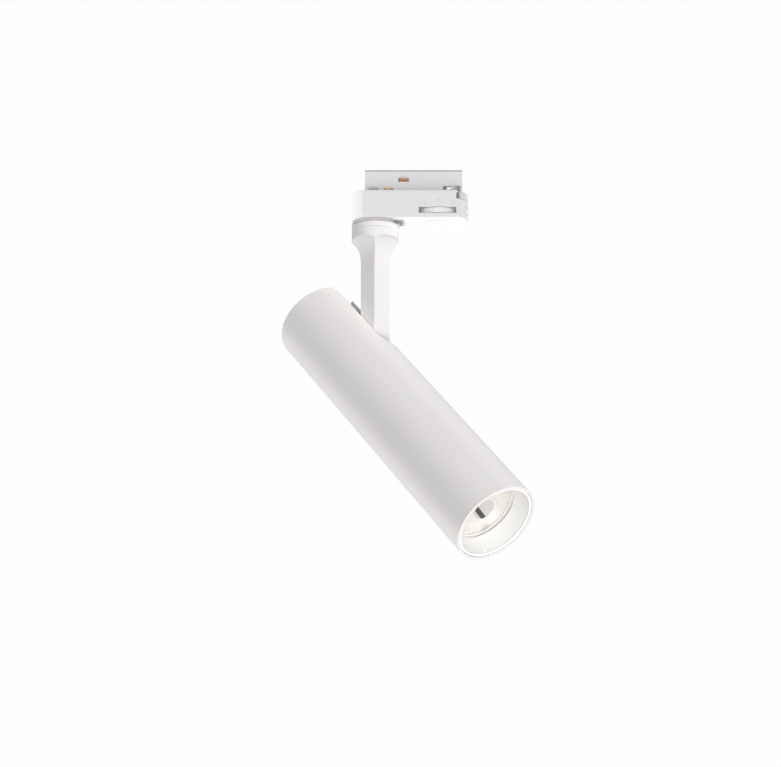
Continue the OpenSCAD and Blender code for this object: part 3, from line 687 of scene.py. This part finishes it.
def dark_strip(steps=14):
    """Flat dark strip across the frosted disc, a painted reflection, its ends cut off by a
    circle.
    """
    along = Vector(STRIP_ALONG).normalized()
    side = Vector((-along.y, along.x))
    middle = Vector(STRIP_MIDDLE).dot(side)
    inner, outer = middle - STRIP_HALF_WIDTH, middle + STRIP_HALF_WIDTH
    outline = []
    for sign, start, end in ((1, inner, outer), (-1, outer, inner)):
        for i in range(steps + 1):
            u = start + (end - start) * i / steps
            outline.append(side * u + along * sign * math.sqrt(STRIP_REACH**2 - u * u))
    centre = sum(outline, Vector((0, 0))) / len(outline)
    back, front = (GLASS_Z - depth for depth in STRIP_DEPTHS)
    bm = bmesh.new()
    rings = []
    for inset, z in ((0.0, back), (0.0, (back + front) / 2), (STRIP_CHAMFER, front)):
        inset_outline = [point - (point - centre).normalized() * inset for point in outline]
        rings.append([bm.verts.new((p.x * MM, p.y * MM, z * MM)) for p in inset_outline])
    for first, second in zip(rings, rings[1:]):
        bridge(bm, first, second)
    bm.faces.new(list(reversed(rings[0])))
    bm.faces.new(rings[-1])
    new_piece("glass_dark_strip", bm, "bar", "head", HEAD, smooth=False)


dark_strip()

# ---------------------------------------------------------------- softened CAD edges


def soften(name, width):
    """Small rounds on the hard edges of a CAD node."""
    weld = nodes[name].modifiers.new("weld", "WELD")
    weld.merge_threshold = 0.000002
    bevel = nodes[name].modifiers.new("edges", "BEVEL")
    bevel.width = width * MM
    bevel.segments = 3
    bevel.limit_method = "ANGLE"
    bevel.angle_limit = math.radians(35.0)
    bevel.harden_normals = False
    bevel.use_clamp_overlap = True


for name, width in (("front_ring", 0.12), ("lock_lever", 0.2), ("latch_tab", 0.12)):
    soften(name, width)

# ---------------------------------------------------------------- floor and world

FLOOR_HALF_SIZE = 4.0
FLOOR_Z = -1.1
BACKDROP = (0.991, 0.991, 0.991)  # what the camera sees
AMBIENT = (0.25, 0.25, 0.25)  # what lights the pieces


def make_floor():
    """Pale floor that neither shades the pieces nor bounces light onto them."""
    bm = bmesh.new()
    bmesh.ops.create_grid(bm, x_segments=2, y_segments=2, size=FLOOR_HALF_SIZE)
    mesh = bpy.data.meshes.new("floor")
    bm.to_mesh(mesh)
    bm.free()
    floor = bpy.data.objects.new("floor", mesh)
    floor.location = (0, 0, FLOOR_Z)
    bpy.context.scene.collection.objects.link(floor)
    mesh.materials.append(floor_material())
    floor.visible_diffuse = False
    floor.visible_shadow = False
    floor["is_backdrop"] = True
    return floor


def make_world():
    world = bpy.data.worlds.new("studio")
    bpy.context.scene.world = world
    g = Graph(world, "World")
    backdrop = g.add("Background", Color=BACKDROP)
    ambient = g.add("Background", Color=AMBIENT)
    camera_ray = g.add("LightPath", output="Is Camera Ray")
    g.finish(g.add("MixShader", camera_ray, ambient, backdrop))


floor = make_floor()
make_world()

# ---------------------------------------------------------------- light groups


def pieces_on(*bodies):
    return [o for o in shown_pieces() if body_of(o) and body_of(o)[0] in bodies]


def collection(name, objects):
    group = bpy.data.collections.new(name)
    for member in objects:
        group.objects.link(member)
    return group


MOUTH_CAD = ("baffle", "front_ring", "reflector", "glass_gasket", "front_glass")
MOUTH = MOUTH_CAD + (
    "glass_frosted_centre", "glass_dark_strip", "glass_edge_bead", "reflector_flange_face",
    "cob_holder", "cob_phosphor", "cob_board",
)

adapter_pieces = pieces_on("adapter", "selector", "lock", "latch")
lamp_pieces = pieces_on("arm", "head")
mouth_pieces = [o for o in lamp_pieces if o.name.split(".")[0] in MOUTH]
# Guards against a mouth node whose object name or body the line above doesn't match
mouth_pieces += [nodes[key] for key in MOUTH_CAD if nodes[key] not in mouth_pieces]

LIT_LAMP = collection("lit_lamp", [o for o in lamp_pieces if o not in mouth_pieces] + [floor])
LIT_MOUTH = collection("lit_mouth", mouth_pieces)
LIT_ADAPTER = collection("lit_adapter", adapter_pieces)
CAST_HEAD = collection("cast_head", pieces_on("head"))
CAST_ADAPTER = collection("cast_adapter", adapter_pieces)
CAST_NONE = collection("cast_none", [floor])
LIT_RIM = collection("lit_rim", [nodes["tube_housing"]])
LIT_EDGE = collection("lit_edge", [flange_face, nodes["glass_gasket"]])

# ---------------------------------------------------------------- suns

# name, direction towards the light, brightness it gives a white face square to it,
# angular size in degrees, lit group, group that casts shadows, seen in reflections
SUNS = (
    ("lamp_0", (0.204, 0.059, 0.977), 0.255, 24, LIT_LAMP, CAST_HEAD, False),
    ("lamp_1", (0.698, 0.459, 0.550), 0.431, 24, LIT_LAMP, CAST_HEAD, False),
    ("lamp_2", (-0.709, 0.697, 0.105), 0.445, 24, LIT_LAMP, CAST_HEAD, False),
    ("lamp_3", (0.741, -0.670, -0.050), 0.325, 24, LIT_LAMP, CAST_HEAD, False),
    ("lamp_4", (0.001, -0.922, -0.386), 0.647, 24, LIT_LAMP, CAST_HEAD, True),
    ("lamp_5", (-0.288, 0.559, -0.777), 0.540, 24, LIT_LAMP, CAST_HEAD, False),
    ("mouth_front", (0.16, -0.92, -0.36), 0.46, 60, LIT_MOUTH, CAST_HEAD, True),
    ("mouth_right", (0.71, -0.70, -0.03), 0.26, 60, LIT_MOUTH, CAST_HEAD, True),
    ("rim_face", (0.514, -0.514, -0.687), 0.08, 10, LIT_RIM, CAST_HEAD, False),
    ("edge_fill", (0.16, -0.92, -0.36), 0.50, 30, LIT_EDGE, CAST_NONE, False),
    ("mouth_axis", (0.51, -0.51, -0.69), 0.29, 70, LIT_MOUTH, CAST_HEAD, True),
    ("mouth_below", (0.30, -0.10, -0.95), 0.20, 90, LIT_MOUTH, CAST_HEAD, True),
    ("adapter_fill", (0.05, -0.97, -0.22), 0.15, 20, LIT_ADAPTER, CAST_NONE, False),
    ("adapter_front", (-0.54, -0.79, -0.30), 0.355, 100, LIT_ADAPTER, CAST_ADAPTER, True),
    ("adapter_below", (0.62, -0.35, -0.70), 0.480, 100, LIT_ADAPTER, CAST_ADAPTER, True),
    ("adapter_back", (0.59, 0.80, 0.08), 0.620, 100, LIT_ADAPTER, CAST_ADAPTER, True),
    ("adapter_left", (-0.84, 0.47, -0.26), 0.755, 100, LIT_ADAPTER, CAST_ADAPTER, True),
)
SUN_DISTANCE = 1.5


def sun(name, toward, brightness, angle, receivers, blockers, glossy):
    light = bpy.data.lights.new(name, "SUN")
    light.energy = math.pi * brightness
    light.angle = math.radians(angle)
    lamp = bpy.data.objects.new(name, light)
    lamp.rotation_euler = Vector(toward).to_track_quat("Z", "Y").to_euler()
    lamp.location = Vector(toward) * SUN_DISTANCE
    bpy.context.scene.collection.objects.link(lamp)
    lamp.light_linking.receiver_collection = receivers
    lamp.light_linking.blocker_collection = blockers
    lamp.visible_glossy = glossy


for row in SUNS:
    sun(*row)

# ---------------------------------------------------------------- camera and view

SENSOR_WIDTH = 36.0
FOCAL_LENGTH = 91.1754161
CAMERA_PLACE = (0.0118014, -1.4835024, -0.44517)
CAMERA_PITCH = 101.3  # degrees from straight down, so it looks slightly up


def make_camera():
    lens = bpy.data.cameras.new("camera")
    lens.sensor_fit = "HORIZONTAL"
    lens.sensor_width = SENSOR_WIDTH
    lens.lens = FOCAL_LENGTH
    lens.clip_start = 0.05
    lens.clip_end = 50.0
    camera = bpy.data.objects.new("camera", lens)
    camera.location = CAMERA_PLACE
    camera.rotation_euler = (math.radians(CAMERA_PITCH), 0, 0)
    bpy.context.scene.collection.objects.link(camera)
    bpy.context.scene.camera = camera


make_camera()
view = bpy.context.scene.view_settings
view.view_transform = "Standard"
view.look = "None"
view.exposure = 0.0
view.gamma = 1.0
